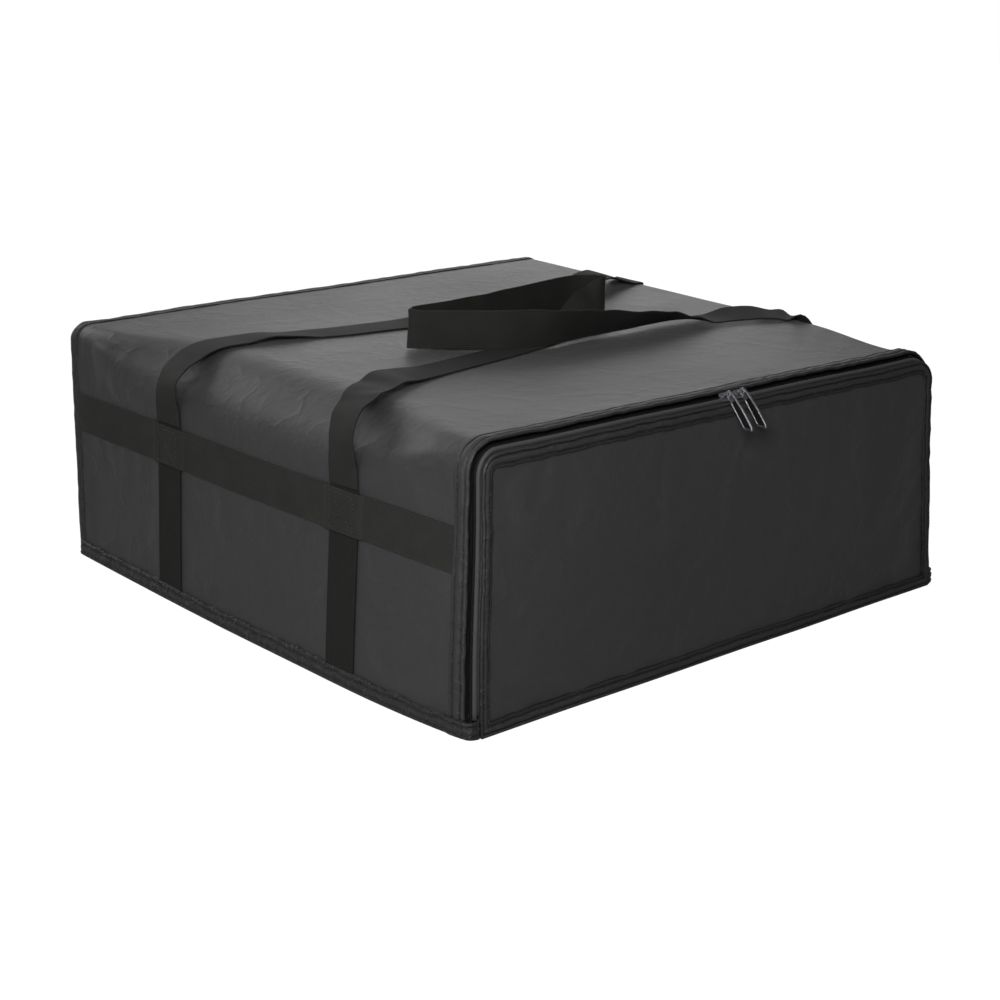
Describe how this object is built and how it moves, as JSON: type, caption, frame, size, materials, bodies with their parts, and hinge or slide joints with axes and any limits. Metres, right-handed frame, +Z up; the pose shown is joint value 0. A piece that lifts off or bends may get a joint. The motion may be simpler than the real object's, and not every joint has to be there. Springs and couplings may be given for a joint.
{
  "type": "pizza delivery bag",
  "caption": "Insulated square pizza delivery bag with a padded foil-lined cabin, a front panel that zips open and folds down, and two webbing carry handles.",
  "frame": {"origin": "under the middle of the base, on the plane that the bag stands on", "axes": "+X to the right along the zipped front, +Y to the back, +Z up"},
  "size_m": [0.5346, 0.535, 0.2373],
  "materials": {
    "cover_cloth": "dark grey coated polyester cloth with a soft sheen",
    "foam": "white closed-cell foam",
    "foil_lining": "silver foil laminate",
    "binding_tape": "folded non-woven binding tape",
    "zip_tape": "black woven zip tape",
    "zip_coil": "black nylon coil",
    "webbing": "black ribbed webbing",
    "dark_metal": "dark plated zinc"
  },
  "bodies": {
    "bag": {"wrap_cover": "cover_cloth", "wrap_foam": "foam", "wrap_lining": "foil_lining", "back_cover": "cover_cloth", "back_foam": "foam", "back_lining": "foil_lining", "base_cover": "cover_cloth", "base_foam": "foam", "base_lining": "foil_lining", "rim_hem": "cover_cloth", "back_binding": "binding_tape", "base_binding": "binding_tape", "zip_tape_body": "zip_tape", "zip_coil_body": "zip_coil", "left_zip_stop": "dark_metal", "right_zip_stop": "dark_metal", "hinge_tape": "binding_tape", "left_front_strap": "webbing", "left_rear_strap": "webbing", "right_front_strap": "webbing", "right_rear_strap": "webbing", "left_side_band": "webbing", "right_side_band": "webbing", "front_handle_left_leg": "webbing", "front_handle_right_leg": "webbing", "rear_handle_left_leg": "webbing", "rear_handle_right_leg": "webbing"},
    "front_panel": {"flap_cover": "cover_cloth", "flap_foam": "foam", "flap_lining": "foil_lining", "flap_border": "cover_cloth", "zip_tape_flap": "zip_tape", "zip_coil_flap": "zip_coil"},
    "left_slider": {"left_slider": "dark_metal"},
    "right_slider": {"right_slider": "dark_metal"},
    "left_pull": {"left_pull": "dark_metal"},
    "right_pull": {"right_pull": "dark_metal"},
    "front_grip": {"front_handle_grip": "webbing"},
    "rear_grip": {"rear_handle_grip": "webbing"}
  },
  "joints": [
    {"name": "front_panel_fold", "type": "hinge", "parent": "bag", "child": "front_panel", "pos_m": [0, -0.254, 0.0022], "axis": [1, 0, 0], "range_deg": [0, 82], "deforming": ["hinge_tape"]},
    {"name": "left_slider_run", "type": "slide", "parent": "front_panel", "child": "left_slider", "axis": [-1, 0, 0], "range_m": [0, 0.228]},
    {"name": "right_slider_run", "type": "slide", "parent": "front_panel", "child": "right_slider", "axis": [1, 0, 0], "range_m": [0, 0.209]},
    {"name": "left_pull_swing", "type": "hinge", "parent": "left_slider", "child": "left_pull", "pos_m": [0.002, -0.25469, 0.20389], "axis": [-1, 0, 0], "range_deg": [0, 150]},
    {"name": "right_pull_swing", "type": "hinge", "parent": "right_slider", "child": "right_pull", "pos_m": [0.017, -0.25469, 0.20389], "axis": [-1, 0, 0], "range_deg": [0, 150]},
    {"name": "front_grip_lift", "type": "slide", "parent": "bag", "child": "front_grip", "axis": [0, 0, 1], "range_m": [0, 0.105], "deforming": ["front_handle_left_leg", "front_handle_right_leg"]},
    {"name": "rear_grip_lift", "type": "slide", "parent": "bag", "child": "rear_grip", "axis": [0, 0, 1], "range_m": [0, 0.075], "deforming": ["rear_handle_left_leg", "rear_handle_right_leg"]}
  ]
}
